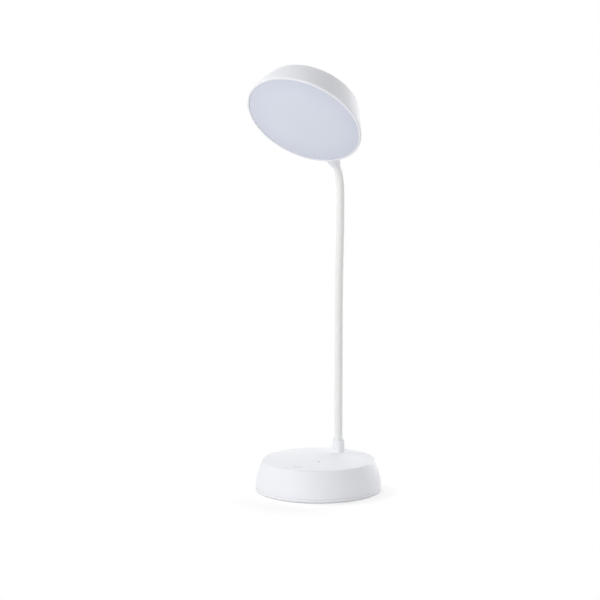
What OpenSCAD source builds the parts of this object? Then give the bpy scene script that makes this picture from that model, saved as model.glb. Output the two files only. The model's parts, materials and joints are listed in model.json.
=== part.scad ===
// Cordless desk lamp: a round weighted base, a flexible neck and a round flat light.
// Millimetres, +Z up, front of the lamp towards -Y, origin at the centre of the underside.

/* [Base] */
// Radius of the base at its widest, at the bottom cover
base_r = 57.3; // [52:0.1:64]
// Radius of the flat top of the base
base_top_r = 51.2; // [48:0.1:52]
// Height of the base above the table
base_h = 27.6; // [26:0.1:34]
// How far the side of the base bulges out between its edges
base_bulge = 1.25; // [0.4:0.05:2]
// Thickness of the moulded base wall
base_wall = 2.2; // [1.6:0.1:2.4]
// Height of the seam between the base shell and its cover
seam_z = 3; // [2.8:0.1:3.4]

/* [Neck] */
// Radius of the soft sleeve over the neck
sleeve_r = 3.75; // [3.6:0.05:3.8]
// Distance of the neck behind the centre of the base
neck_back = 36.1; // [35:0.1:38]
// Length of each straight link of the neck
link_len = 23.6; // [22:0.1:25]
// Greatest backward lean of the neck, in degrees
neck_lean = 3.1; // [0:0.1:4]
// Radius of the bend under the head
bend_r = 40; // [36:0.5:44]

/* [Head] */
// Radius of the head at its rim
head_r = 53.3; // [53:0.1:56]
// Radius of the flat back of the head
head_back_r = 44.7; // [43:0.1:48]
// Depth of the head from rim to back
head_depth = 25.2; // [24:0.1:32]
// How far the side of the head bulges out between its edges
head_bulge = 0.77; // [0.3:0.01:1.5]
// Thickness of the moulded head wall
head_wall = 2; // [1.6:0.1:2.2]
// Tilt of the head, from looking straight down, in degrees
head_tilt = 43.8; // [35:0.1:55]
// Distance from the end of the neck's bend to the middle of the head
neck_reach = 61.8; // [61:0.1:64]
// Distance of the neck behind the rim, where it enters the head
neck_depth = 11; // [10.5:0.1:12]

/* [Hidden] */
$fn = 96;

BASE_NODES = ["base_shell", "base_cover", "foot_pad", "base_screws", "ballast_plate",
    "ballast_screws", "battery_cell", "battery_holder", "base_leads", "main_board",
    "board_chips", "board_screws", "touch_foil", "touch_foam", "light_pipe", "usb_socket",
    "usb_board", "base_collar", "lower_ferrule", "neck_washer", "neck_nut", "lamp_lead"];
HEAD_NODES = ["head_shell", "diffuser", "light_guide", "reflector_sheet", "panel_tray",
    "tray_screws", "led_strip", "led_chips", "neck_clamp", "clamp_screws", "upper_ferrule",
    "head_leads"];
// The neck bends at its pivots: links lie between one pivot and the next
LINKS = 12;

// Colours
WHITE = [0.94, 0.94, 0.95];
SLEEVE_WHITE = [0.9, 0.9, 0.9];
FROST = [0.84, 0.85, 0.89];
STEEL = [0.62, 0.63, 0.65];
BRASS = [0.78, 0.66, 0.38];
BOARD_GREEN = [0.12, 0.38, 0.24];
CHIP_BLACK = [0.12, 0.12, 0.13];
PAD_GREY = [0.75, 0.75, 0.76];
CELL_BLUE = [0.16, 0.32, 0.6];
COPPER = [0.8, 0.5, 0.3];
LEAD_GREY = [0.3, 0.3, 0.32];
CLEAR = [0.9, 0.95, 0.97, 0.6];
PHOSPHOR = [0.95, 0.85, 0.4];

// Small gaps
fit = 0.05;        // between pieces that are pushed or glued together
slack = 0.3;       // between pieces that only lie near each other
over = 1;          // how far a cutting solid runs past what it cuts
through = 0.2;     // round a screw's shank in a piece that the screw only passes

// Screws: head radius, head height, shank radius
COVER_SCREW = [2.6, 1.6, 1.25];
BALLAST_SCREW = [2.6, 1.6, 1.4];
BOARD_SCREW = [1.9, 1.2, 0.9];
TRAY_SCREW = [1.6, 1.3, 0.85];
CLAMP_SCREW = [1.8, 1.2, 0.85];
cover_screw_len = 11;
board_screw_len = 6;
usb_screw_len = 5;
tray_screw_len = 8;
clamp_screw_len = 7;

// Base: levels above the table and radii
table_gap = 0.6;                        // cover above the table, the pad fills it
pad_t = 1.2;
pad_r = 52;
cover_in_z = pad_t;                     // ceiling of the recess that holds the pad
seam_gap = 0.12;
shell_z = seam_z + seam_gap;            // lower edge of the shell, a fine seam above the cover
seam_step = 0.45;                       // the cover stands out by this much under the shell
shell_foot_r = base_r - seam_step;
cover_low_r = 0.5;                      // rounding of the cover's lower edge
cover_top_r = 0.3;                      // rounding of its upper edge, at the seam
pad_edge_r = 0.3;
edge_r = 1.5;                           // rounding of the top edge
edge_lean = 25;                         // slope of the side where that rounding starts
ceiling_z = base_h - base_wall;
screw_ring_r = 49.3;                    // base screws, measured from the centre
screw_turn = 45;
boss_r = 3.4;
boss_foot_z = seam_z + 1.9;
boss_top_z = 19;
rib_r = shell_foot_r - base_wall - slack; // locating rib of the cover
rib_t = 1;
rib_top_z = seam_z + 3;

// Inside the base
ballast_r = 45.2;
ballast_t = 8;
ballast_back = 4.6;                     // the plate ends here, in front of the cell
ballast_z = seam_z + 0.1;
ballast_bolt_x = 26;
ballast_bolt_y = -22;
cell_r = 9.2;
cell_len = 65;
cell_tip_r = 3.7;
cell_tip_len = 0.5;
cell_gap = 0.15;                        // between the cell and its holder
cell_y = 17;
cell_z = 13.4;
holder_len = 71;
holder_w = 21;
holder_h = 7;
board_w = 46;
board_back = -6;
board_front = -42;
board_t = 1.6;
board_z = 18;
post_r = 2.5;
board_posts = [[-19, -11], [19, -11], [0, -27]];
touch_y = -38;                          // the touch key's symbol is above this point
touch_r = 7;
touch_t = 0.3;
foam_r = 3;
pipe_r = 1;
pipe_at = [5.8, -9.4];
light_t = 0.8;                          // status light on the board, under the pipe
light_w = 2;
light_gap = 0.1;                        // between the status light and the pipe

// Charging inlet at the back
usb_w = 8.94;
usb_h = 3.26;
usb_len = 7.35;
usb_wall = 0.3;
usb_back_t = 1.2;
usb_tongue_w = 6.6;
usb_tongue_t = 0.7;
usb_tongue_in = 1;                      // from either end of the inlet to the tongue's end
usb_mouth_y = 55.4;
usb_board_z = 7;
usb_board_t = 1;
usb_board_w = 16;
usb_board_len = 11;
usb_board_y = 41;
usb_post_x = 5.6;
usb_post_y = 43.5;
usb_post_r = 2;
usb_hole_gap = 0.35;

// Neck: radii of what lies inside the sleeve
sleeve_bore_r = 2.85;
hose_r = 2.75;
hose_bore_r = 1.9;
lead_r = 1.3;
base_lead_r = 0.7;
base_lead_gap = 0.1;                    // between a lead and the board that it ends on
lead_drop = 1.2;                        // of the leads under the ceiling of the base
head_lead_r = 0.5;
head_lead_rise = 1.1;                   // of the leads over the tray
dome_r = 4.5;                           // each link ends in a dome round its pivot
cup_r = dome_r + slack;                 // the next link starts with a hollow round it
first_pivot = 21;                       // along the neck, above the base
// Share of neck_lean by which each straight link leans back, from the foot up
LEAN_SHARES = [0, 0.2, 0.2, 0.2, 0.2, 0.25, 0.6, 1, 0.8, 0.25, 0];

// Foot of the neck
collar_top_r = 5.4;
collar_foot_r = 5.8;
collar_flare_r = 6.3;
collar_flare_h = 0.6;
collar_flare_dip = 0.1;                 // how far the flare curves in
collar_edge_r = 1.1;
collar_h = 11.8;
ferrule_r = 4;
ferrule_z = 16;
ferrule_top_z = 36.2;
flange_r = 5;
flange_t = 1.2;
washer_r = 8;
washer_t = 1.2;
nut_r = 7.5;                            // across the corners, halved
nut_t = 3.8;

// The neck's centre line: length, heading at its start and at its end (0 is straight
// up, positive leans forward), one row for each stretch
head_heading = 90 - head_tilt;
bend_len = bend_r * head_heading * PI / 180;
last_straight = 8.5;
tail_len = 32;
BEND = LINKS - 1;                       // row of the bend under the head
NECK_PATH = concat(
    [for (k = [0 : BEND - 1])
        let (lean = -neck_lean * LEAN_SHARES[k])
        [k == 0 ? first_pivot : k == BEND - 1 ? last_straight : link_len, lean, lean]],
    [[bend_len, 0, head_heading], [tail_len, head_heading, head_heading]]);

// Head: measured from the rim plane towards the back, along the head's own axis
lip_r = head_r - 1.85;                  // inner edge of the rim
rim_edge_r = 0.8;
glass_r = lip_r - fit;
glass_z = 0.35;
glass_t = 1.2;
glass_edge_r = 0.3;
glass_back_z = glass_z + glass_t;
ledge_w = 0.85;                         // step in the wall that the tray rests on
guide_r = 44.5;
guide_z = 1.75;
guide_t = 1.75;
sheet_z = guide_z + guide_t + fit;
sheet_t = 0.2;
tray_z = 3.8;
tray_t = 0.8;
tray_r = lip_r - 0.35;
tray_ring_r = 45.5;
tray_ring_z = glass_back_z + fit;
ledge_z = tray_z + tray_t;
tray_screws_n = 4;
tray_screw_r = 47.6;
tray_screw_z = tray_ring_z + slack + TRAY_SCREW[1];
tray_boss_r = 2.3;
slot_turn = 120;                        // slot in the tray for the leads
slot_w = 2.8;
slot_in_r = 44.5;
slot_out_r = 47.5;
strip_r = 45.35;
strip_t = 0.2;
strip_z = guide_z - 0.02;
strip_h = 2.04;
chips_n = 36;
chip_w = 2.8;
chip_t = 0.55;
chip_h = 1.2;
chip_z = guide_z + 0.3;
chip_gap = 0.03;                        // between the strip and a chip's back
socket_before = 7;                      // the socket's tip, before the end of the neck's bend
socket_len = 24;                        // from its tip to its root inside the wall
socket_tip_r = 5;
socket_root_r = 7.2;
socket_bulge = 0.6;
socket_edge_r = 0.5;
socket_bore_gap = 0.15;                 // round the sleeve
ferrule2_r = 3.4;
ferrule2_end = 36.5;
ferrule2_out = neck_reach - 0.5;        // it ends on the straight stretch
clamp_w = 4.6;                          // neck clamp, along the neck
clamp_y = 40;
clamp_t = 1;
clamp_ear_x = 10;
clamp_bolt_x = 7.2;
clamp_boss_r = 2.4;
clamp_r = ferrule2_r + fit;

// ---- Outlines -------------------------------------------------------------

// Points of the round arc from a to b that stands out by sag to the right of a-to-b
function arc_between(a, b, sag, steps) =
    let (chord = norm(b - a),
         radius = (chord * chord / 4 + sag * sag) / (2 * sag),
         half = asin(chord / 2 / radius),
         out = [b.y - a.y, a.x - b.x] / chord,
         centre = (a + b) / 2 - out * (radius - sag),
         start = atan2(a.y - centre.y, a.x - centre.x))
    [for (i = [0 : steps])
        centre + radius * [cos(start + 2 * half * i / steps), sin(start + 2 * half * i / steps)]];

// Points of a round corner about a centre, from one angle to another
function corner(centre, radius, from, to, steps) =
    [for (i = [0 : steps])
        let (a = from + (to - from) * i / steps)
        centre + radius * [cos(a), sin(a)]];

// Side of a tapered round case: from its foot up over a rounded edge to the flat top
function case_side(foot, top_r, top_z, bulge, edge) =
    let (round_at = [top_r - edge, top_z - edge],
         shoulder = round_at + edge * [cos(edge_lean), sin(edge_lean)])
    concat(arc_between(foot, shoulder, bulge, 12), corner(round_at, edge, edge_lean, 90, 6));

function reversed(list) = [for (i = [len(list) - 1 : -1 : 0]) list[i]];

// ---- The neck's centre line -------------------------------------------------

function path_start(i) = i == 0 ? 0 : path_start(i - 1) + NECK_PATH[i - 1][0];
function row_at(s, i = 0) =
    i == len(NECK_PATH) - 1 || s <= path_start(i + 1) ? i : row_at(s, i + 1);
function heading(i, u) =
    NECK_PATH[i][1] + (NECK_PATH[i][2] - NECK_PATH[i][1]) * u / NECK_PATH[i][0];
// Step along stretch i, as [y, z]
function step_along(i, u) =
    let (from = heading(i, 0), to = heading(i, u))
    i == BEND ? bend_r * [cos(to) - cos(from), sin(to) - sin(from)]
              : u * [-sin(from), cos(from)];
function row_point(i) =
    i == 0 ? [neck_back, base_h] : row_point(i - 1) + step_along(i - 1, NECK_PATH[i - 1][0]);
function neck_point(s) =
    let (i = row_at(s))
    row_point(i) + step_along(i, s - path_start(i));
function neck_heading(s) =
    let (i = row_at(s))
    heading(i, s - path_start(i));
function pivot_s(k) = first_pivot + (k - 1) * link_len;

bend_end = path_start(BEND + 1);
head_yz = neck_point(bend_end)
    + neck_reach * [-sin(head_heading), cos(head_heading)]
    - neck_depth * [cos(head_heading), sin(head_heading)];

// Stand the children up at distance s along the neck, their Z along it
module on_neck(s) {
    at = neck_point(s);
    translate([0, at.x, at.y])
        rotate([neck_heading(s), 0, 0])
            children();
}

// Put the children in the head's own frame: rim plane at Z 0, back towards +Z,
// neck towards +Y
module in_head() {
    translate([0, head_yz.x, head_yz.y])
        rotate([-head_tilt, 0, 0])
            children();
}

module pivot_ball(k, r) {
    on_neck(pivot_s(k))
        sphere(r);
}

module tube(len, r, bore) {
    rotate_extrude()
        translate([bore, 0])
            square([r - bore, len]);
}

// A tube that starts at the origin along +Z and turns forward with the neck's bend.
// A bore of 0 makes it solid.
module bent_tube(len, r, bore) {
    translate([0, -bend_r, 0])
        rotate([90, 0, 90])
            rotate_extrude(angle = len / bend_r * 180 / PI)
                translate([bend_r, 0])
                    difference() {
                        circle(r);
                        if (bore > 0)
                            circle(bore);
                    }
}

// A straight link of a neck tube, from foot_s to pivot k, domed there. Above the first
// link it starts with a hollow round the pivot below.
module straight_link(k, r, bore, foot_s) {
    foot = foot_s - path_start(k - 1);
    tip = NECK_PATH[k - 1][0];
    translate([0, row_point(k - 1).x, row_point(k - 1).y])
        rotate([heading(k - 1, 0), 0, 0])
            rotate_extrude()
                difference() {
                    intersection() {
                        translate([bore, foot])
                            square([r - bore, tip + dome_r - foot]);
                        union() {
                            translate([0, foot])
                                square([r + over, tip - foot]);
                            translate([0, tip])
                                circle(dome_r);
                        }
                    }
                    if (k > 1)
                        circle(cup_r);
                }
}

// The link that runs into the bend and ends there in a dome
module bend_link(r, bore) {
    past = 2 * dome_r;
    tip = pivot_s(LINKS - 1);
    difference() {
        on_neck(path_start(BEND)) {
            mirror([0, 0, 1])
                tube(last_straight, r, bore);
            bent_tube(tip - path_start(BEND) + past, r, bore);
        }
        pivot_ball(LINKS - 2, cup_r);
        on_neck(tip)
            difference() {
                translate([-past, -past, 0])
                    cube([2 * past, 2 * past, 2 * past]);
                sphere(dome_r);
            }
    }
}

// The last link: the rest of the bend, and a straight tail into the head
module top_link(r, bore, tail) {
    difference() {
        on_neck(bend_end) {
            mirror([0, 0, 1])
                bent_tube(bend_end - pivot_s(LINKS - 1), r, bore);
            if (tail > 0)
                tube(tail, r, bore);
        }
        pivot_ball(LINKS - 1, cup_r);
    }
}

// Link k of a neck tube, from one pivot to the next
module neck_link(k, r, bore, foot_s, tail) {
    if (k < LINKS - 1)
        straight_link(k, r, bore, k == 1 ? foot_s : pivot_s(k - 1));
    if (k == LINKS - 1)
        bend_link(r, bore);
    if (k == LINKS)
        top_link(r, bore, tail);
}

// ---- Shared details -----------------------------------------------------------

function between(a, b, share) = a * (1 - share) + b * share;

// A route with its corners cut off, each a quarter of the way to the next
function cut_corners(p) = concat([p[0]],
    [for (i = [0 : len(p) - 2])
        each [between(p[i], p[i + 1], 0.25), between(p[i], p[i + 1], 0.75)]],
    [p[len(p) - 1]]);

// Round wire along a route. No stretch of the route runs along the direction across.
module wire(route, r, across = [1, 0, 0], sides = 10) {
    last = len(route) - 1;
    rings = [for (i = [0 : last])
        let (run = route[min(i + 1, last)] - route[max(i - 1, 0)],
             u = cross(run, across) / norm(cross(run, across)),
             v = cross(run, u) / norm(run))
        each [for (j = [0 : sides - 1])
            route[i] + r * (u * cos(360 * j / sides) + v * sin(360 * j / sides))]];
    walls = [for (i = [0 : last - 1])
        each [for (j = [0 : sides - 1])
            let (a = i * sides + j, b = i * sides + (j + 1) % sides)
            [a, a + sides, b + sides, b]]];
    polyhedron(rings, concat([[for (j = [0 : sides - 1]) j]], walls,
        [[for (j = [sides - 1 : -1 : 0]) last * sides + j]]));
}

// Cross-slotted screw, head downwards, shank from Z 0 towards +Z
module screw(size, len) {
    cap_r = size[0];
    cap_h = size[1];
    cross_len = cap_r * 1.2;
    cross_w = cap_r * 0.24;
    translate([0, 0, -cap_h])
        difference() {
            cylinder(h = cap_h, r = cap_r, $fn = 32);
            for (turn = [0, 90])
                rotate([0, 0, turn])
                    translate([-cross_len / 2, -cross_w / 2, -over])
                        cube([cross_len, cross_w, over + cap_h / 2]);
        }
    cylinder(h = len, r = size[2], $fn = 32);
}

// Hole for a screw's shank, from Z 0 towards +Z: tight round the thread, or with a gap
module screw_hole(size, len, gap = fit) {
    cylinder(h = len, r = size[2] + gap, $fn = 32);
}

module on_base_screws() {
    for (i = [0 : 3])
        rotate([0, 0, screw_turn + 90 * i])
            translate([screw_ring_r, 0, 0])
                children();
}

// Stadium-shaped bar along +Y, centred in X and Z
module flat_bar(w, h, len) {
    rotate([-90, 0, 0])
        linear_extrude(len)
            union() {
                square([w - h, h], center = true);
                for (side = [-1, 1])
                    translate([side * (w - h) / 2, 0])
                        circle(h / 2, $fn = 32);
            }
}

usb_z = usb_board_z + usb_board_t + usb_h / 2;

// ---- Base -----------------------------------------------------------------------

// Upper case of the base with its inner bosses and posts
module base_shell() {
    outside = case_side([shell_foot_r, shell_z], base_top_r, base_h, base_bulge, edge_r);
    inside = arc_between([shell_foot_r - base_wall, shell_z],
        [base_top_r - base_wall, ceiling_z], base_bulge, 8);
    color(WHITE) difference() {
        union() {
            rotate_extrude($fn = 180)
                polygon(concat([[0, ceiling_z]], reversed(inside), outside, [[0, base_h]]));
            on_base_screws()
                translate([0, 0, boss_foot_z + fit])
                    cylinder(h = boss_top_z - boss_foot_z, r = boss_r);
            for (at = board_posts)
                translate([at.x, at.y, board_z + board_t])
                    cylinder(h = ceiling_z - board_z - board_t + fit, r = post_r);
        }
        on_base_screws()
            translate([0, 0, seam_z])
                screw_hole(COVER_SCREW, cover_screw_len + over);
        for (at = board_posts)
            translate([at.x, at.y, board_z])
                screw_hole(BOARD_SCREW, board_screw_len + slack);
        translate([0, neck_back, ceiling_z - over])
            cylinder(h = base_wall + 2 * over, r = ferrule_r + fit);
        translate([pipe_at.x, pipe_at.y, ceiling_z - over])
            cylinder(h = base_wall + 2 * over, r = pipe_r + fit, $fn = 32);
        translate([0, usb_mouth_y - usb_len / 2, usb_z])
            flat_bar(usb_w + 2 * usb_hole_gap, usb_h + 2 * usb_hole_gap, usb_len);
    }
}

// Bottom cover: the band seen under the seam, with a recess for the pad
module base_cover() {
    low = [base_r - cover_low_r, table_gap + cover_low_r];
    high = [base_r - cover_top_r, seam_z - cover_top_r];
    color(WHITE) difference() {
        union() {
            rotate_extrude($fn = 180)
                polygon(concat([[0, cover_in_z], [pad_r + slack, cover_in_z],
                    [pad_r + slack, table_gap]], corner(low, cover_low_r, -90, 0, 6),
                    corner(high, cover_top_r, 0, 90, 3), [[0, seam_z]]));
            difference() {
                translate([0, 0, cover_in_z])
                    tube(rib_top_z - cover_in_z, rib_r, rib_r - rib_t);
                translate([-usb_w, 0, seam_z])
                    cube([2 * usb_w, base_r, rib_top_z - seam_z + over]);
            }
            on_base_screws()
                translate([0, 0, cover_in_z])
                    cylinder(h = boss_foot_z - cover_in_z, r = boss_r);
            for (side = [-1, 1])
                translate([side * usb_post_x, usb_post_y, cover_in_z])
                    cylinder(h = usb_board_z - cover_in_z, r = usb_post_r);
        }
        on_base_screws() {
            screw_hole(COVER_SCREW, base_h, through);
            cylinder(h = seam_z, r = COVER_SCREW[0] + slack, $fn = 32);
        }
        for (side = [-1, 1]) {
            translate([side * ballast_bolt_x, ballast_bolt_y, 0])
                screw_hole(BALLAST_SCREW, base_h);
            translate([side * usb_post_x, usb_post_y, usb_board_z - usb_screw_len])
                screw_hole(BOARD_SCREW, base_h);
        }
    }
}

// Thin non-slip pad that the lamp stands on
module foot_pad() {
    color(PAD_GREY) rotate_extrude($fn = 180)
        polygon(concat([[0, 0]],
            corner([pad_r - pad_edge_r, pad_edge_r], pad_edge_r, -90, 0, 3),
            [[pad_r, pad_t], [0, pad_t]]));
}

module base_screws() {
    color(STEEL) on_base_screws()
        translate([0, 0, seam_z])
            screw(COVER_SCREW, cover_screw_len);
}

// Steel plate that keeps the lamp standing, in front of the cell
module ballast_plate() {
    color(STEEL) difference() {
        translate([0, 0, ballast_z])
            intersection() {
                cylinder(h = ballast_t, r = ballast_r, $fn = 180);
                translate([-ballast_r, -ballast_r, -over])
                    cube([2 * ballast_r, ballast_r + ballast_back, ballast_t + 2 * over]);
            }
        for (side = [-1, 1])
            translate([side * ballast_bolt_x, ballast_bolt_y, 0])
                screw_hole(BALLAST_SCREW, base_h, through);
    }
}

module ballast_screws() {
    top = ballast_z + ballast_t;
    color(STEEL) for (side = [-1, 1])
        translate([side * ballast_bolt_x, ballast_bolt_y, top])
            rotate([180, 0, 0])
                screw(BALLAST_SCREW, top - cover_in_z - fit);
}

module cell_shape(r, len) {
    translate([-len / 2, cell_y, cell_z])
        rotate([0, 90, 0])
            cylinder(h = len, r = r);
}

// Rechargeable round cell, lying across the base
module battery_cell() {
    color(CELL_BLUE) union() {
        cell_shape(cell_r, cell_len - 2 * cell_tip_len);
        cell_shape(cell_tip_r, cell_len);
    }
}

module battery_holder() {
    color(WHITE) difference() {
        translate([-holder_len / 2, cell_y - holder_w / 2, seam_z])
            cube([holder_len, holder_w, holder_h]);
        cell_shape(cell_r + cell_gap, cell_len + over);
    }
}

// Wires inside the base: from the cell, the inlet and the neck to the main board
module base_leads() {
    on_board = base_lead_r + base_lead_gap;
    lead_top = board_z + board_t + on_board;
    ceiling_run = ceiling_z - lead_drop;
    color(LEAD_GREY) union() {
        for (side = [-1, 1])
            wire(cut_corners(cut_corners([[side * 33.6, cell_y, 15],
                [side * 33.6, cell_y, ceiling_run], [side * 24, 4, ceiling_run],
                [side * 21, -8, lead_top]])), base_lead_r);
        for (route = [
            [[0, 42.6, usb_board_z + usb_board_t + on_board], [-14, 31, 13], [-14, 28, ceiling_run],
                [-12, 4, ceiling_run], [-12, -8, lead_top]],
            [[3, 35, 12], [14, 31, 14], [14, 28, ceiling_run], [12, 4, ceiling_run],
                [12, -8, lead_top]]])
            wire(cut_corners(cut_corners(route)), base_lead_r);
    }
}

// Circuit board, screwed up against the posts of the shell
module main_board() {
    color(BOARD_GREEN) difference() {
        translate([-board_w / 2, board_front, board_z])
            cube([board_w, board_back - board_front, board_t]);
        for (at = board_posts)
            translate([at.x, at.y, board_z - over])
                screw_hole(BOARD_SCREW, board_t + 2 * over, through);
    }
}

// Parts soldered under the board, and the status light on top of it
module board_chips() {
    under = [[-14, -30, 7, 5, 1.2], [-3, -19, 6, 6, 1], [11, -22, 8, 5, 2.2], [13, -33, 5, 4, 1.4],
        [-15, -20, 4, 3, 1.2], [-2, -37, 4, 2, 0.8]];
    color(CHIP_BLACK) union() {
        for (chip = under)
            translate([chip[0], chip[1], board_z - chip[4]])
                cube([chip[2], chip[3], chip[4]]);
        translate([pipe_at.x - light_w / 2, pipe_at.y - light_w / 2, board_z + board_t])
            cube([light_w, light_w, light_t]);
    }
}

module board_screws() {
    color(STEEL) union() {
        for (at = board_posts)
            translate([at.x, at.y, board_z])
                screw(BOARD_SCREW, board_screw_len);
        for (side = [-1, 1])
            translate([side * usb_post_x, usb_post_y, usb_board_z + usb_board_t])
                rotate([180, 0, 0])
                    screw(BOARD_SCREW, usb_screw_len);
    }
}

// Copper disc of the touch key, under the ceiling of the shell
module touch_foil() {
    color(COPPER) translate([0, touch_y, ceiling_z - touch_t])
        cylinder(h = touch_t, r = touch_r);
}

// Conducting foam between the board and the copper disc
module touch_foam() {
    low = board_z + board_t;
    color(LEAD_GREY) translate([0, touch_y, low])
        cylinder(h = ceiling_z - touch_t - low, r = foam_r);
}

module light_pipe() {
    low = board_z + board_t + light_t + light_gap;
    color(FROST) translate([pipe_at.x, pipe_at.y, low])
        cylinder(h = base_h - low, r = pipe_r, $fn = 32);
}

// Charging inlet: a flat metal tube with a tongue inside
module usb_socket() {
    back_y = usb_mouth_y - usb_len;
    color(STEEL) translate([0, back_y, usb_z]) union() {
        difference() {
            flat_bar(usb_w, usb_h, usb_len);
            translate([0, usb_back_t, 0])
                flat_bar(usb_w - 2 * usb_wall, usb_h - 2 * usb_wall, usb_len);
        }
        translate([-usb_tongue_w / 2, usb_tongue_in, -usb_tongue_t / 2])
            cube([usb_tongue_w, usb_len - 2 * usb_tongue_in, usb_tongue_t]);
    }
}

module usb_board() {
    color(BOARD_GREEN) difference() {
        translate([-usb_board_w / 2, usb_board_y, usb_board_z])
            cube([usb_board_w, usb_board_len, usb_board_t]);
        for (side = [-1, 1])
            translate([side * usb_post_x, usb_post_y, usb_board_z - over])
                screw_hole(BOARD_SCREW, usb_board_t + 2 * over, through);
    }
}

// ---- Foot of the neck ---------------------------------------------------------

// Moulded collar round the foot of the neck
module base_collar() {
    flare = arc_between([collar_foot_r, collar_flare_h], [collar_flare_r, 0],
        collar_flare_dip, 5);
    top = corner([collar_top_r - collar_edge_r, collar_h - collar_edge_r], collar_edge_r, 90, 0, 4);
    color(WHITE) on_neck(0) difference() {
        rotate_extrude()
            polygon(concat([[0, 0], [0, collar_h]], top, flare));
        translate([0, 0, -over])
            cylinder(h = over + flange_t + fit, r = flange_r + fit);
        translate([0, 0, -over])
            cylinder(h = over + ferrule_top_z - base_h + fit, r = ferrule_r + fit);
        cylinder(h = collar_h + over, r = sleeve_r + fit);
    }
}

// Brass bush that holds the foot of the hose in the base
module lower_ferrule() {
    color(BRASS) on_neck(0) difference() {
        union() {
            translate([0, 0, ferrule_z - base_h])
                cylinder(h = ferrule_top_z - ferrule_z, r = ferrule_r);
            cylinder(h = flange_t, r = flange_r);
        }
        translate([0, 0, -base_h])
            cylinder(h = 2 * base_h, r = hose_r + fit);
    }
}

module neck_washer() {
    color(STEEL) translate([0, neck_back, ceiling_z - washer_t]) difference() {
        cylinder(h = washer_t, r = washer_r);
        translate([0, 0, -over])
            cylinder(h = washer_t + 2 * over, r = ferrule_r + slack);
    }
}

module neck_nut() {
    color(BRASS) translate([0, neck_back, ceiling_z - washer_t - nut_t]) difference() {
        cylinder(h = nut_t, r = nut_r, $fn = 6);
        translate([0, 0, -over])
            cylinder(h = nut_t + 2 * over, r = ferrule_r + fit);
    }
}

// ---- Neck -------------------------------------------------------------------------

hose_foot_s = ferrule_z - base_h + 1;
hose_tip_s = bend_end + neck_reach - ferrule2_end - 1;
sleeve_foot_s = ferrule_top_z - base_h + slack;

// Links of the flexible steel hose
module neck_hose(k) {
    color(STEEL) neck_link(k, hose_r, hose_bore_r, hose_foot_s, hose_tip_s - bend_end);
}

// Links of the soft sleeve over the hose
module neck_sleeve(k) {
    color(SLEEVE_WHITE) neck_link(k, sleeve_r, sleeve_bore_r, sleeve_foot_s, 0);
}

// Two-core lead through the whole neck
module lamp_lead() {
    from = hose_foot_s - 2;
    to = hose_tip_s + 2;
    steps = 60;
    route = [for (i = [0 : steps])
        let (at = neck_point(from + (to - from) * i / steps))
        [0, at.x, at.y]];
    color(LEAD_GREY) wire(route, lead_r);
}

// ---- Head -------------------------------------------------------------------------

module on_tray_screws() {
    for (i = [0 : tray_screws_n - 1])
        rotate([0, 0, 45 + i * 360 / tray_screws_n])
            translate([tray_screw_r, 0, 0])
                children();
}

// Turn a profile about the neck's axis inside the head
module round_neck_axis() {
    translate([0, 0, neck_depth])
        rotate([-90, 0, 0])
            rotate_extrude()
                children();
}

// Stand the children up on the neck's bend, at a distance before its end, their Z along
// the neck. In the head's own frame.
module on_last_bend(before) {
    translate([0, neck_reach, neck_depth - bend_r])
        rotate([-before / bend_r * 180 / PI, 0, 0])
            translate([0, 0, bend_r])
                rotate([90, 0, 0])
                    children();
}

// Tapered socket that the neck runs into, square to the side of the head. The neck starts
// to bend inside it.
module neck_socket() {
    tip = corner([socket_tip_r - socket_edge_r, socket_edge_r], socket_edge_r, -90, 0, 4);
    side = arc_between([socket_tip_r, 2 * socket_edge_r], [socket_root_r, socket_len],
        socket_bulge, 6);
    on_last_bend(socket_before)
        rotate([socket_before / bend_r * 180 / PI, 0, 0])
            rotate_extrude()
                polygon(concat([[0, 0]], tip, side, [[0, socket_len]]));
}

// Case of the head, in one piece with the neck socket
module head_shell() {
    outside = case_side([head_r, rim_edge_r], head_back_r, head_depth, head_bulge, edge_r);
    rim = corner([head_r - rim_edge_r, rim_edge_r], rim_edge_r, -90, -15, 4);
    inside = arc_between([lip_r - ledge_w, ledge_z],
        [head_back_r - head_wall, head_depth - head_wall], head_bulge, 8);
    color(WHITE) in_head() difference() {
        union() {
            difference() {
                union() {
                    rotate_extrude($fn = 180)
                        polygon(concat([[0, 0]], rim, outside, [[0, head_depth]]));
                    neck_socket();
                }
                rotate_extrude($fn = 180)
                    polygon(concat([[0, -over], [lip_r, -over], [lip_r, ledge_z]], inside,
                        [[0, head_depth - head_wall]]));
            }
            intersection() {
                on_tray_screws()
                    translate([0, 0, ledge_z])
                        cylinder(h = head_depth - ledge_z - over, r = tray_boss_r);
                translate([0, 0, ledge_z])
                    cylinder(h = head_depth - ledge_z - over, r1 = lip_r - ledge_w,
                        r2 = head_back_r);
            }
            for (side = [-1, 1])
                translate([side * clamp_bolt_x, clamp_y, neck_depth + clamp_t / 2])
                    cylinder(h = head_depth - neck_depth - head_wall, r = clamp_boss_r);
        }
        round_neck_axis()
            translate([0, ferrule2_end - over])
                square([clamp_r, neck_reach - ferrule2_end + 2 * over]);
        on_last_bend(0)
            mirror([0, 0, 1])
                bent_tube(socket_before + sleeve_r, sleeve_r + socket_bore_gap, 0);
        on_tray_screws()
            translate([0, 0, ledge_z - over])
                screw_hole(TRAY_SCREW, tray_screw_len);
        for (side = [-1, 1])
            translate([side * clamp_bolt_x, clamp_y, neck_depth])
                screw_hole(CLAMP_SCREW, clamp_screw_len);
    }
}

// Frosted cover of the light
module diffuser() {
    low = [glass_r - glass_edge_r, glass_z + glass_edge_r];
    color(FROST) in_head()
        rotate_extrude($fn = 180)
            polygon(concat([[0, glass_z]], corner(low, glass_edge_r, -90, 0, 4),
                [[glass_r, glass_back_z], [0, glass_back_z]]));
}

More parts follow.
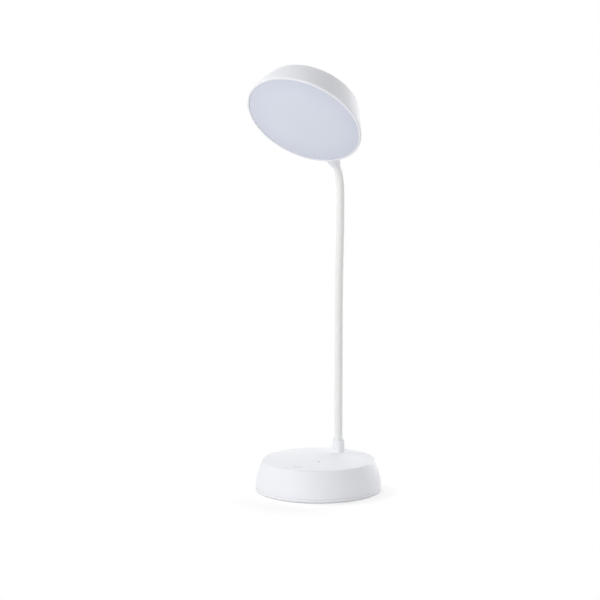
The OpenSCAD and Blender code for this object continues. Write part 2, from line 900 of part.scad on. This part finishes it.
// Clear plate that spreads the light from its edge
module light_guide() {
    color(CLEAR) in_head()
        translate([0, 0, guide_z])
            cylinder(h = guide_t, r = guide_r, $fn = 180);
}

module reflector_sheet() {
    color(WHITE) in_head()
        translate([0, 0, sheet_z])
            cylinder(h = sheet_t, r = guide_r, $fn = 180);
}

// Tray that holds the light guide, its sheet and the strip of lights
module panel_tray() {
    color(WHITE) in_head() difference() {
        translate([0, 0, tray_ring_z])
            cylinder(h = ledge_z - tray_ring_z, r = tray_r, $fn = 180);
        cylinder(h = tray_z, r = tray_ring_r, $fn = 180);
        on_tray_screws() {
            screw_hole(TRAY_SCREW, head_depth, through);
            cylinder(h = tray_screw_z, r = TRAY_SCREW[0] + slack, $fn = 32);
        }
        rotate([0, 0, slot_turn])
            translate([slot_in_r, -slot_w / 2, tray_ring_z + over])
                cube([slot_out_r - slot_in_r, slot_w, head_depth]);
    }
}

module tray_screws() {
    color(STEEL) in_head()
        on_tray_screws()
            translate([0, 0, tray_screw_z])
                screw(TRAY_SCREW, tray_screw_len);
}

// Flexible strip of lights round the edge of the light guide
module led_strip() {
    color(WHITE) in_head()
        translate([0, 0, strip_z]) difference() {
            cylinder(h = strip_h, r = strip_r, $fn = 180);
            translate([0, 0, -over])
                cylinder(h = strip_h + 2 * over, r = strip_r - strip_t, $fn = 180);
        }
}

module led_chips() {
    color(PHOSPHOR) in_head()
        for (i = [0 : chips_n - 1])
            rotate([0, 0, i * 360 / chips_n])
                translate([strip_r - strip_t - chip_gap - chip_t, -chip_w / 2, chip_z])
                    cube([chip_t, chip_w, chip_h]);
}

// Steel strap that holds the end of the neck down on its two bosses
module neck_clamp() {
    color(STEEL) in_head() translate([0, clamp_y - clamp_w / 2, neck_depth]) difference() {
        rotate([-90, 0, 0])
            linear_extrude(clamp_w)
                difference() {
                    union() {
                        circle(clamp_r + clamp_t);
                        translate([-clamp_ear_x, -clamp_t / 2])
                            square([2 * clamp_ear_x, clamp_t]);
                    }
                    circle(clamp_r);
                    translate([-clamp_r - 2 * clamp_t, -2 * clamp_r - clamp_t / 2])
                        square([2 * clamp_r + 4 * clamp_t, 2 * clamp_r]);
                }
        for (side = [-1, 1])
            translate([side * clamp_bolt_x, clamp_w / 2, -over])
                screw_hole(CLAMP_SCREW, clamp_t + 2 * over, through);
    }
}

module clamp_screws() {
    color(STEEL) in_head()
        for (side = [-1, 1])
            translate([side * clamp_bolt_x, clamp_y, neck_depth - clamp_t / 2])
                screw(CLAMP_SCREW, clamp_screw_len);
}

// Brass bush crimped on the upper end of the hose
module upper_ferrule() {
    color(BRASS) in_head() round_neck_axis()
        polygon([[hose_r + fit, ferrule2_end], [ferrule2_r, ferrule2_end],
            [ferrule2_r, ferrule2_out], [hose_r + fit, ferrule2_out]]);
}

// Wires from the end of the neck to the strip of lights
module head_leads() {
    run_z = ledge_z + head_lead_rise;
    strip_mid_z = 3.2;
    color(LEAD_GREY) in_head() union() {
        for (route = [
            [[-0.7, 32, neck_depth], [-8, 34, run_z], [-21, 38.5, run_z], [-22.4, 40, run_z],
                [-22.5, 40.2, strip_mid_z]],
            [[0.7, 32, neck_depth], [-6, 31.5, run_z], [-21.9, 37.2, run_z],
                [-23.4, 39.4, run_z], [-23.5, 39.6, strip_mid_z]]])
            wire(cut_corners(route), head_lead_r, [0, 0, 1]);
    }
}

// ---- Pieces -------------------------------------------------------------------

base_shell();
base_cover();
foot_pad();
base_screws();
ballast_plate();
ballast_screws();
battery_cell();
battery_holder();
base_leads();
main_board();
board_chips();
board_screws();
touch_foil();
touch_foam();
light_pipe();
usb_socket();
usb_board();
base_collar();
lower_ferrule();
neck_washer();
neck_nut();
lamp_lead();
head_shell();
diffuser();
light_guide();
reflector_sheet();
panel_tray();
tray_screws();
led_strip();
led_chips();
neck_clamp();
clamp_screws();
upper_ferrule();
head_leads();
for (k = [1 : LINKS]) {
    neck_hose(k);
    neck_sleeve(k);
}
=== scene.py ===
"""A cordless desk lamp, dressed: satin white plastic, soft sleeve, frosted light.

Metres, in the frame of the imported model: +Z up, the front of the lamp towards -Y.
"""
import json
import math

import bmesh
import bpy
import numpy as np
from mathutils import Matrix, Vector


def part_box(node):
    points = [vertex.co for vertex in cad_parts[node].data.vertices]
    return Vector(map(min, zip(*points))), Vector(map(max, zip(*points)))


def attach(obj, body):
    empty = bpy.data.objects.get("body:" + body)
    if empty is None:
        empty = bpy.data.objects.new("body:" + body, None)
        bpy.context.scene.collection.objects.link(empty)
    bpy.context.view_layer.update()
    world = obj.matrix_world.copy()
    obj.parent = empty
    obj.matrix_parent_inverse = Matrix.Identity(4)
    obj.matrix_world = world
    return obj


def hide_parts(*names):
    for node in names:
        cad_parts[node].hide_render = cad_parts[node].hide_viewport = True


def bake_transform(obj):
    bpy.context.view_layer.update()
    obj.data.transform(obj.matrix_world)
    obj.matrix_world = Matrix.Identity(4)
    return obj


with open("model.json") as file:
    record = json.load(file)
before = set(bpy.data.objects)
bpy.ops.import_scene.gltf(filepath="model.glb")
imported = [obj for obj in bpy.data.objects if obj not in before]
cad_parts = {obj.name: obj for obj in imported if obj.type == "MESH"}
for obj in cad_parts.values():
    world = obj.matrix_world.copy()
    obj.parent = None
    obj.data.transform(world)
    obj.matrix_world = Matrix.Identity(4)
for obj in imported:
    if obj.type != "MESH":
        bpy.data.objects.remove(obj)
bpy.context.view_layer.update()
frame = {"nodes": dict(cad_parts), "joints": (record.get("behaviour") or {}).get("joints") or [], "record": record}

MM = 0.001

# ---- Camera ------------------------------------------------------------------

CAMERA_AT = Vector((0.76193, -1.29092, 0.3537))
CAMERA_LOOK = Vector((-0.51385588, 0.8494804, -0.11972965))
CAMERA_UP = Vector((-0.05756333, 0.10510842, 0.99279337))
SENSOR_MM = 36.0
FOCAL_PX = 1681.9
PHOTO_PX = 600


def make_camera():
    data = bpy.data.cameras.new("camera")
    data.sensor_width = SENSOR_MM
    data.lens = FOCAL_PX / PHOTO_PX * SENSOR_MM
    data.clip_start = 0.05
    data.clip_end = 50
    camera = bpy.data.objects.new("camera", data)
    right = CAMERA_LOOK.cross(CAMERA_UP).normalized()
    up = right.cross(CAMERA_LOOK).normalized()
    turn = Matrix((right, up, -CAMERA_LOOK)).transposed().to_4x4()
    camera.matrix_world = Matrix.Translation(CAMERA_AT) @ turn
    bpy.context.scene.collection.objects.link(camera)
    bpy.context.scene.camera = camera


# ---- Materials ---------------------------------------------------------------

class Shader:
    """A material's node tree, with short calls for the nodes that every finish here uses."""

    def __init__(self, name):
        self.material = bpy.data.materials.new(name)
        self.material.use_nodes = True
        self.tree = self.material.node_tree
        self.surface = self.tree.nodes["Principled BSDF"]
        self.place = self.node("ShaderNodeTexCoord").outputs["Object"]

    def node(self, kind, **settings):
        made = self.tree.nodes.new(kind)
        for key, value in settings.items():
            setattr(made, key, value)
        return made

    def link(self, output, socket):
        self.tree.links.new(output, socket)

    def noise(self, size, detail=2.0, roughness=0.5, stretch=(1, 1, 1)):
        """Noise whose features are about size across, in metres, stretched by axis."""
        mapping = self.node("ShaderNodeMapping")
        mapping.inputs["Scale"].default_value = [1 / s for s in stretch]
        self.link(self.place, mapping.inputs["Vector"])
        noise = self.node("ShaderNodeTexNoise")
        noise.inputs["Scale"].default_value = 1 / size
        noise.inputs["Detail"].default_value = detail
        noise.inputs["Roughness"].default_value = roughness
        self.link(mapping.outputs["Vector"], noise.inputs["Vector"])
        return noise.outputs["Fac"]

    def span(self, value, low, high, from_low=0.3, from_high=0.7):
        """value, stretched from one range to another."""
        ramp = self.node("ShaderNodeMapRange")
        ramp.inputs["From Min"].default_value = from_low
        ramp.inputs["From Max"].default_value = from_high
        ramp.inputs["To Min"].default_value = low
        ramp.inputs["To Max"].default_value = high
        self.link(value, ramp.inputs["Value"])
        return ramp.outputs["Result"]

    def blend_colors(self, share, first, second):
        mix = self.node("ShaderNodeMix", data_type="RGBA")
        self.link(share, mix.inputs["Factor"])
        for socket, color in ((mix.inputs[6], first), (mix.inputs[7], second)):
            if isinstance(color, bpy.types.NodeSocket):
                self.link(color, socket)
            else:
                socket.default_value = (*color, 1)
        return mix.outputs[2]

    def bump(self, height, depth, under=None):
        """Small relief of the given depth in metres."""
        bump = self.node("ShaderNodeBump")
        bump.inputs["Strength"].default_value = 1
        bump.inputs["Distance"].default_value = depth
        self.link(height, bump.inputs["Height"])
        if under is not None:
            self.link(under, bump.inputs["Normal"])
        return bump.outputs["Normal"]

    def set(self, **values):
        for name, value in values.items():
            socket = self.surface.inputs[name.replace("_", " ")]
            if isinstance(value, bpy.types.NodeSocket):
                self.link(value, socket)
            else:
                socket.default_value = (*value, 1) if isinstance(value, tuple) else value


def from_srgb(*levels):
    """A colour given as 0 to 255 levels, as linear values."""
    shares = [v / 255 for v in levels]
    return tuple(s / 12.92 if s <= 0.04045 else ((s + 0.055) / 1.055) ** 2.4 for s in shares)


def moulded(name, color, shade, roughness, grain=0.35 * MM, depth=0.012 * MM, **more):
    """Satin moulded plastic: fine spark-eroded grain, a slight sink, cloudy gloss."""
    s = Shader(name)
    cloud = s.noise(18 * MM, detail=3)
    fine = s.noise(grain, detail=1)
    sink = s.noise(9 * MM, detail=1)
    s.set(
        Base_Color=s.blend_colors(s.span(cloud, 0, 1), shade, color),
        Roughness=s.span(s.noise(4 * MM, detail=4), roughness - 0.05, roughness + 0.05),
        Normal=s.bump(fine, depth, s.bump(sink, depth * 1.5)),
        **more,
    )
    return s.material


def rubber(name, color, shade, roughness, grain=0.25 * MM, depth=0.02 * MM, **more):
    """Soft rubber or silicone: matt, with a dusty bloom."""
    s = Shader(name)
    bloom = s.noise(7 * MM, detail=5, roughness=0.65)
    s.set(
        Base_Color=s.blend_colors(s.span(bloom, 0, 1), shade, color),
        Roughness=s.span(s.noise(2.5 * MM, detail=3), roughness - 0.06, roughness + 0.06),
        Normal=s.bump(s.noise(grain, detail=3), depth),
        **more,
    )
    return s.material


def metal(name, color, shade, roughness, stretch=(1, 1, 1), depth=0.006 * MM):
    """Plain metal with fine drawn or turned marks along the stretched axis."""
    s = Shader(name)
    marks = s.noise(0.4 * MM, detail=3, stretch=stretch)
    s.set(
        Base_Color=s.blend_colors(s.span(s.noise(5 * MM, detail=4), 0, 1), shade, color),
        Metallic=1.0,
        Roughness=s.span(marks, roughness - 0.08, roughness + 0.1),
        Normal=s.bump(marks, depth),
    )
    return s.material


def frosted(name, color, shade, centre, radius):
    """Frosted light cover: even in the middle, with painted shade that darkens it a touch towards its edge."""
    s = Shader(name)
    away = s.node("ShaderNodeVectorMath", operation="DISTANCE")
    s.link(s.place, away.inputs[0])
    away.inputs[1].default_value = centre
    # painted shade: the cover turns darker towards the rim that surrounds it; the cloud below is random tone
    edge = s.span(away.outputs["Value"], 0, 1, radius * 0.6, radius)
    cloud = s.span(s.noise(30 * MM, detail=2), 0, 0.25)
    mixed = s.node("ShaderNodeMath", operation="ADD")
    s.link(edge, mixed.inputs[0])
    s.link(cloud, mixed.inputs[1])
    s.set(
        Base_Color=s.blend_colors(mixed.outputs["Value"], color, shade),
        Roughness=s.span(s.noise(3 * MM, detail=3), 0.42, 0.5),
        Normal=s.bump(s.noise(0.3 * MM, detail=2), 0.01 * MM),
    )
    return s.material


def board_finish(name):
    """Green board: darker traces under the varnish."""
    s = Shader(name)
    traces = s.node("ShaderNodeTexBrick")
    traces.inputs["Scale"].default_value = 160
    traces.inputs["Color1"].default_value = (0.03, 0.16, 0.08, 1)
    traces.inputs["Color2"].default_value = (0.04, 0.22, 0.11, 1)
    traces.inputs["Mortar"].default_value = (0.02, 0.10, 0.05, 1)
    s.link(s.place, traces.inputs["Vector"])
    s.set(
        Base_Color=traces.outputs["Color"],
        Roughness=s.span(s.noise(3 * MM), 0.3, 0.45),
        Normal=s.bump(traces.outputs["Fac"], 0.02 * MM),
    )
    return s.material


# ---- Meshes --------------------------------------------------------------------

SHARP = math.radians(32)       # edges that turn by more stay sharp
WELD = 0.002 * MM


def smoother():
    """Modifier that welds a node's faces and shades its round surfaces smoothly."""
    group = bpy.data.node_groups.new("smooth_round_faces", "GeometryNodeTree")
    group.interface.new_socket("Geometry", in_out="INPUT", socket_type="NodeSocketGeometry")
    group.interface.new_socket("Geometry", in_out="OUTPUT", socket_type="NodeSocketGeometry")
    nodes = group.nodes
    inward = nodes.new("NodeGroupInput")
    outward = nodes.new("NodeGroupOutput")
    weld = nodes.new("GeometryNodeMergeByDistance")
    weld.inputs["Distance"].default_value = WELD
    faces = nodes.new("GeometryNodeSetShadeSmooth")
    faces.domain = "FACE"
    edges = nodes.new("GeometryNodeSetShadeSmooth")
    edges.domain = "EDGE"
    edges.inputs["Shade Smooth"].default_value = False
    angle = nodes.new("GeometryNodeInputMeshEdgeAngle")
    sharp = nodes.new("FunctionNodeCompare")
    sharp.inputs["B"].default_value = SHARP
    link = group.links.new
    link(inward.outputs[0], weld.inputs["Geometry"])
    link(weld.outputs["Geometry"], faces.inputs["Geometry"])
    link(faces.outputs["Geometry"], edges.inputs["Geometry"])
    link(angle.outputs["Unsigned Angle"], sharp.inputs["A"])
    link(sharp.outputs["Result"], edges.inputs["Selection"])
    link(edges.outputs["Geometry"], outward.inputs[0])
    return group


def add_object(name, vertices, faces, material):
    mesh = bpy.data.meshes.new(name)
    mesh.from_pydata([tuple(v) for v in vertices], [], faces)
    mesh.materials.append(material)
    mesh.polygons.foreach_set("use_smooth", [True] * len(mesh.polygons))
    bm = bmesh.new()
    bm.from_mesh(mesh)
    bmesh.ops.recalc_face_normals(bm, faces=bm.faces)
    bm.to_mesh(mesh)
    bm.free()
    mesh.set_sharp_from_angle(angle=SHARP)
    made = bpy.data.objects.new(name, mesh)
    bpy.context.scene.collection.objects.link(made)
    return made


def tube_mesh(name, points, outer, inner, material, around=48):
    """A closed pipe along points, with walls from radius inner to outer. Inner 0 is solid."""
    points = np.array(points)
    runs = np.gradient(points, axis=0)
    runs /= np.linalg.norm(runs, axis=1)[:, None]
    side = np.tile([1.0, 0, 0], (len(points), 1))
    up = np.cross(runs, side)
    turn = np.linspace(0, 2 * np.pi, around, endpoint=False)
    vertices, faces = [], []

    def skin(radius):
        first = len(vertices)
        for p, u, v in zip(points, side, up):
            vertices.extend(p + radius * (np.cos(t) * u + np.sin(t) * v) for t in turn)
        for i in range(len(points) - 1):
            for j in range(around):
                a, b = first + i * around + j, first + i * around + (j + 1) % around
                faces.append((a, b, b + around, a + around))
        return first

    last = (len(points) - 1) * around
    out = skin(outer)
    if inner:
        into = skin(inner)
        for end in (0, last):
            for j in range(around):
                k = (j + 1) % around
                faces.append((out + end + j, out + end + k, into + end + k, into + end + j))
    else:
        faces.append(tuple(range(out, out + around)))
        faces.append(tuple(range(out + last, out + last + around)))
    return add_object(name, vertices, faces, material)


# ---- The neck ---------------------------------------------------------------------

LAST_STRAIGHT = 8.5 * MM       # from the tenth pivot to the bend
BEND_R = 40 * MM
LEAD_TAIL = 26 * MM            # of the lead, past the end of the bend
HEAD_TILT = math.radians(43.8)
SLEEVE_R = 3.75 * MM
SLEEVE_IN_R = 3.2 * MM
LEAD_R = 1.3 * MM
STEP = 1 * MM                  # between the points of the neck's centre line
SOFTEN = 9                     # points to each side that a point is averaged with


def neck_line():
    """Points along the neck's centre line, from inside the base to inside the head, and
    the index of the point nearest to each pivot."""
    pivots = [Vector(j["pos_m"]) for j in frame["joints"]]
    foot = Vector((0, pivots[0].y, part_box("lamp_lead")[0].z))
    bend_start = pivots[9] + Vector((0, 0, LAST_STRAIGHT))
    corners = [foot, *pivots[:10], bend_start]
    line = []
    for a, b in zip(corners, corners[1:]):
        steps = round((b - a).length / STEP)
        line += [a.lerp(b, i / steps) for i in range(steps)]
    rough = np.array(line)
    padded = np.vstack([np.repeat(rough[:1], SOFTEN, 0), rough, np.repeat(rough[-1:], SOFTEN, 0)])
    smooth = np.array([padded[i:i + 2 * SOFTEN + 1].mean(0) for i in range(len(rough))])
    smooth[:SOFTEN] = rough[:SOFTEN]
    smooth[-SOFTEN:] = rough[-SOFTEN:]
    heading = math.pi / 2 - HEAD_TILT
    steps = round(BEND_R * heading / STEP)
    bend = [bend_start + BEND_R * Vector((0, math.cos(heading * i / steps) - 1,
                                          math.sin(heading * i / steps)))
            for i in range(steps + 1)]
    way = Vector((0, -math.sin(heading), math.cos(heading)))
    tail = [bend[-1] + way * STEP * i for i in range(1, round(LEAD_TAIL / STEP) + 1)]
    line = np.array([*smooth, *bend, *tail])
    marks = [int(np.argmin(np.linalg.norm(line - np.array(p), axis=1))) for p in pivots]
    bend_end = len(smooth) + len(bend) - 1
    return line, marks, bend_end


def bend_across(piece):
    """Bakes the piece's placement into its mesh."""
    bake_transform(piece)


def dress_neck(sleeve, lead):
    """The sleeve and the lead, each as one piece per pivot, from mid link to mid link."""
    line, marks, bend_end = neck_line()
    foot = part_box("neck_sleeve_1")[0].z
    first = int(np.argmax(line[:, 2] > foot))
    joints = frame["joints"]
    for k, joint in enumerate(joints):
        low = (marks[k - 1] + marks[k]) // 2 if k else first
        high = (marks[k] + marks[k + 1]) // 2 if k + 1 < len(joints) else bend_end
        pipe = tube_mesh(f"sleeve_{k + 1}", line[low:high + 1], SLEEVE_R, SLEEVE_IN_R, sleeve)
        bend_across(pipe)
        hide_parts(f"neck_sleeve_{k + 1}")
        if k + 1 == len(joints):
            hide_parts(f"neck_sleeve_{k + 2}")
        low = low if k else 0
        high = high if k + 1 < len(joints) else len(line) - 1
        wire = tube_mesh(f"lead_{k + 1}", line[low:high + 1], LEAD_R, 0, lead, around=16)
        bend_across(wire)
        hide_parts("lamp_lead")


# ---- Printed marks on the base ------------------------------------------------------

TOUCH_AT = (0.7 * MM, -38 * MM)
TOUCH_R = 3.2 * MM
RING_AT = (2.6 * MM, -9.4 * MM)
RING_R = 3.6 * MM
LINE_W = 0.6 * MM
PRINT_H = 0.03 * MM
MARK_GAP = math.radians(35)    # half the opening of each ring
BAR_FROM = 0.2                 # the bar's ends, in radii of the touch symbol
BAR_TO = 1.2


def flat_ring(centre, radius, start, end, z, steps=48):
    """Vertices and faces of a flat printed arc, a hair thick."""
    vertices, faces = [], []
    angles = np.linspace(start, end, steps + 1)
    for a in angles:
        for r in (radius - LINE_W / 2, radius + LINE_W / 2):
            x, y = centre[0] + r * math.cos(a), centre[1] + r * math.sin(a)
            vertices += [(x, y, z - PRINT_H), (x, y, z + PRINT_H)]
    for i in range(steps):
        a, b = 4 * i, 4 * i + 4
        faces += [(a + 1, a + 3, b + 3, b + 1), (a, b, b + 2, a + 2),
                  (a, a + 1, b + 1, b), (a + 2, b + 2, b + 3, a + 3)]
    ends = 4 * steps
    faces += [(0, 2, 3, 1), (ends, ends + 1, ends + 3, ends + 2)]
    return vertices, faces


def print_marks(ink, faint_ink):
    """The touch key's symbol, a ring with a bar, and the thin ring by the status light."""
    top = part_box("base_shell")[1].z
    turn = 2 * math.pi
    up = turn / 4
    symbol = flat_ring(TOUCH_AT, TOUCH_R, up + MARK_GAP, up + turn - MARK_GAP, top)
    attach(add_object("touch_symbol", *symbol, ink), "base")
    ring = flat_ring(RING_AT, RING_R, MARK_GAP, turn - MARK_GAP, top)
    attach(add_object("status_ring", *ring, faint_ink), "base")
    x, y = TOUCH_AT
    w, low, high = LINE_W / 2, y + BAR_FROM * TOUCH_R, y + BAR_TO * TOUCH_R
    corners = [(x - w, low), (x + w, low), (x + w, high), (x - w, high)]
    vertices = [(cx, cy, top + s * PRINT_H) for s in (-1, 1) for cx, cy in corners]
    faces = [(0, 1, 2, 3), (4, 5, 6, 7), (0, 1, 5, 4), (1, 2, 6, 5), (2, 3, 7, 6), (3, 0, 4, 7)]
    bar = add_object("touch_symbol_bar", vertices, faces, ink)
    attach(bar, "base")


# ---- Finishes of the CAD nodes --------------------------------------------------------

DIFFUSER_R = 53 * MM


def finishes():
    """One material for each of the record's slots."""
    low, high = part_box("diffuser")
    centre = (low + high) / 2
    return {
        "white_plastic": moulded("white_plastic", from_srgb(240, 241, 245),
                                 from_srgb(238, 239, 243), 0.6),
        "sleeve": rubber("sleeve", from_srgb(237, 238, 236), from_srgb(233, 235, 233), 0.55,
                         depth=0.008 * MM),
        "foot_pad": rubber("foot_pad", from_srgb(196, 197, 199), from_srgb(184, 185, 188), 0.8,
                           grain=0.6 * MM, depth=0.08 * MM),
        "screws": metal("screws", (0.55, 0.56, 0.58), (0.45, 0.46, 0.48), 0.35),
        "ballast": metal("ballast", (0.5, 0.51, 0.54), (0.4, 0.41, 0.44), 0.4, (6, 1, 1)),
        "cell": moulded("cell", (0.03, 0.12, 0.42), (0.02, 0.09, 0.35), 0.3),
        "inner_plastic": moulded("inner_plastic", from_srgb(240, 240, 240),
                                 from_srgb(234, 234, 234), 0.5),
        "leads": rubber("leads", (0.06, 0.06, 0.065), (0.04, 0.04, 0.045), 0.5),
        "board": board_finish("board"),
        "chips": moulded("chips", (0.02, 0.02, 0.022), (0.014, 0.014, 0.016), 0.4),
        "copper": metal("copper", (0.85, 0.42, 0.25), (0.7, 0.32, 0.2), 0.3, (1, 5, 1)),
        "foam": rubber("foam", (0.05, 0.05, 0.052), (0.03, 0.03, 0.032), 0.9,
                       grain=0.5 * MM, depth=0.1 * MM),
        "clear_plastic": moulded("clear_plastic", from_srgb(174, 178, 184),
                                 from_srgb(166, 170, 176), 0.2, depth=0.004 * MM),
        "socket_metal": metal("socket_metal", (0.62, 0.63, 0.65), (0.5, 0.51, 0.53), 0.25,
                              (1, 6, 1)),
        "brass": metal("brass", (0.75, 0.55, 0.22), (0.62, 0.44, 0.17), 0.3),
        "hose": metal("hose", (0.5, 0.51, 0.53), (0.38, 0.39, 0.41), 0.35, (6, 6, 1)),
        "diffuser": frosted("diffuser", from_srgb(217, 222, 234), from_srgb(211, 215, 228),
                            centre, DIFFUSER_R),
        "reflector": moulded("reflector", from_srgb(250, 250, 250), from_srgb(247, 247, 247),
                             0.25),
        "led": moulded("led", (0.85, 0.65, 0.12), (0.75, 0.55, 0.1), 0.3),
    }


def dress_nodes(materials):
    slots = {p["node"]: p["material_slot"] for p in frame["record"]["subparts"]}
    group = smoother()
    for name, node in frame["nodes"].items():
        node.data.materials.clear()
        node.data.materials.append(materials[slots[name]])
        modifier = node.modifiers.new("smooth_round_faces", "NODES")
        modifier.node_group = group


# ---- Floor and light --------------------------------------------------------------------

FLOOR_HALF = 30                # half the floor's side, in metres
FLOOR_WHITE = 0.85             # as light that bounces sees it
FLOOR_SEEN = 1.0               # as the camera sees it, before its glow
FLOOR_LIT = 0.81               # light that falls on the open floor near the lamp
SHADOW_AT = (0.015, -0.026, 0)
SHADOW_NEAR = 0.045            # metres from there where the shadow starts to fade
SHADOW_FAR = 0.09              # and where it is gone

SKY_SIDE = (0, 0)              # azimuth and height that the sky is brightest at
SKY_BRIGHT = 0.744             # its level there
SKY_DIM = 0.0                  # and on the far side

# Each lamp: azimuth and height above the floor in degrees, and its power in watts
LAMPS = {
    "front_softbox": (-90, 10, 10.6),
    "front_left_softbox": (-120, 10, 14.8),
    "left_softbox": (180, 45, 15.9),
    "back_left_softbox": (120, 10, 7.2),
    "back_softbox": (90, 10, 17.6),
    "back_right_softbox": (60, 10, 7.5),
}
LAMPS_AIM = Vector((0, 0, 0.2))
LAMPS_DISTANCE = 2.2
LAMPS_SIZE = 1.2


def rays_that_see_white(tree):
    """1 for the rays that show the plain background, 0 for those that carry its light."""
    path = tree.nodes.new("ShaderNodeLightPath")
    seen = path.outputs["Is Camera Ray"]
    for name in ("Is Glossy Ray", "Is Transmission Ray"):
        either = tree.nodes.new("ShaderNodeMath")
        either.operation = "MAXIMUM"
        tree.links.new(seen, either.inputs[0])
        tree.links.new(path.outputs[name], either.inputs[1])
        seen = either.outputs[0]
    return seen


def add_floor():
    """A plain white floor that keeps the lamp's soft shadow near its foot.

    The seen floor glows by as much as the light on it falls short of white.
    """
    mesh = bpy.data.meshes.new("floor")
    corners = [(x * FLOOR_HALF, y * FLOOR_HALF, 0) for x, y in ((-1, -1), (1, -1), (1, 1), (-1, 1))]
    mesh.from_pydata(corners, [], [(0, 1, 2, 3)])
    floor = bpy.data.objects.new("floor", mesh)
    bpy.context.scene.collection.objects.link(floor)
    material = bpy.data.materials.new("floor")
    material.use_nodes = True
    tree = material.node_tree
    tree.nodes.clear()
    link = tree.links.new
    shaders = {}
    for name, level in (("bounce", FLOOR_WHITE), ("seen", FLOOR_SEEN)):
        shaders[name] = tree.nodes.new("ShaderNodeBsdfDiffuse")
        shaders[name].inputs["Color"].default_value = (level, level, level, 1)
    for name, level in (("glow", 1 - FLOOR_SEEN * FLOOR_LIT), ("white", 1)):
        shaders[name] = tree.nodes.new("ShaderNodeEmission")
        shaders[name].inputs["Strength"].default_value = level
    both = tree.nodes.new("ShaderNodeAddShader")
    link(shaders["seen"].outputs[0], both.inputs[0])
    link(shaders["glow"].outputs[0], both.inputs[1])
    place = tree.nodes.new("ShaderNodeTexCoord")
    away = tree.nodes.new("ShaderNodeVectorMath")
    away.operation = "DISTANCE"
    away.inputs[1].default_value = SHADOW_AT
    link(place.outputs["Object"], away.inputs[0])
    fade = tree.nodes.new("ShaderNodeMapRange")
    fade.interpolation_type = "SMOOTHSTEP"
    fade.inputs["From Min"].default_value = SHADOW_NEAR
    fade.inputs["From Max"].default_value = SHADOW_FAR
    link(away.outputs["Value"], fade.inputs["Value"])
    shown = tree.nodes.new("ShaderNodeMixShader")
    link(fade.outputs["Result"], shown.inputs["Fac"])
    link(both.outputs[0], shown.inputs[1])
    link(shaders["white"].outputs[0], shown.inputs[2])
    mix = tree.nodes.new("ShaderNodeMixShader")
    out = tree.nodes.new("ShaderNodeOutputMaterial")
    link(rays_that_see_white(tree), mix.inputs["Fac"])
    link(shaders["bounce"].outputs[0], mix.inputs[1])
    link(shown.outputs[0], mix.inputs[2])
    link(mix.outputs[0], out.inputs["Surface"])
    mesh.materials.append(material)


def direction(azimuth, height):
    """Unit vector for two angles in degrees."""
    a, h = math.radians(azimuth), math.radians(height)
    return Vector((math.cos(h) * math.cos(a), math.cos(h) * math.sin(a), math.sin(h)))


def add_world():
    """A sky that is bright on one side and fades to the other, and looks plain white."""
    world = bpy.data.worlds.new("studio")
    bpy.context.scene.world = world
    world.use_nodes = True
    tree = world.node_tree
    tree.nodes.clear()
    link = tree.links.new
    light = tree.nodes.new("ShaderNodeBackground")
    light.inputs["Color"].default_value = (1, 1, 1, 1)
    place = tree.nodes.new("ShaderNodeTexCoord")
    towards = tree.nodes.new("ShaderNodeVectorMath")
    towards.operation = "DOT_PRODUCT"
    towards.inputs[1].default_value = direction(*SKY_SIDE)
    level = tree.nodes.new("ShaderNodeMapRange")
    level.inputs["From Min"].default_value = -1
    level.inputs["To Min"].default_value = SKY_DIM
    level.inputs["To Max"].default_value = SKY_BRIGHT
    link(place.outputs["Generated"], towards.inputs[0])
    link(towards.outputs["Value"], level.inputs["Value"])
    link(level.outputs["Result"], light.inputs["Strength"])
    white = tree.nodes.new("ShaderNodeBackground")
    white.inputs["Color"].default_value = (1, 1, 1, 1)
    mix = tree.nodes.new("ShaderNodeMixShader")
    out = tree.nodes.new("ShaderNodeOutputWorld")
    link(rays_that_see_white(tree), mix.inputs["Fac"])
    link(light.outputs[0], mix.inputs[1])
    link(white.outputs[0], mix.inputs[2])
    link(mix.outputs[0], out.inputs["Surface"])


def add_lamps():
    for name, (azimuth, height, power) in LAMPS.items():
        way = direction(azimuth, height)
        data = bpy.data.lights.new(name, "AREA")
        data.size = LAMPS_SIZE
        data.energy = power
        lamp = bpy.data.objects.new(name, data)
        lamp.location = LAMPS_AIM + LAMPS_DISTANCE * way
        lamp.rotation_mode = "QUATERNION"
        lamp.rotation_quaternion = way.to_track_quat("Z", "Y")
        bpy.context.scene.collection.objects.link(lamp)


# ---- The scene ----------------------------------------------------------------------------

make_camera()
looks = finishes()
dress_nodes(looks)
dress_neck(looks["sleeve"], looks["leads"])
print_marks(moulded("ink", from_srgb(194, 197, 202), from_srgb(188, 191, 196), 0.6),
            moulded("faint_ink", from_srgb(222, 224, 228), from_srgb(218, 220, 224), 0.6))
add_floor()
add_world()
add_lamps()
bpy.context.scene.view_settings.view_transform = "Standard"
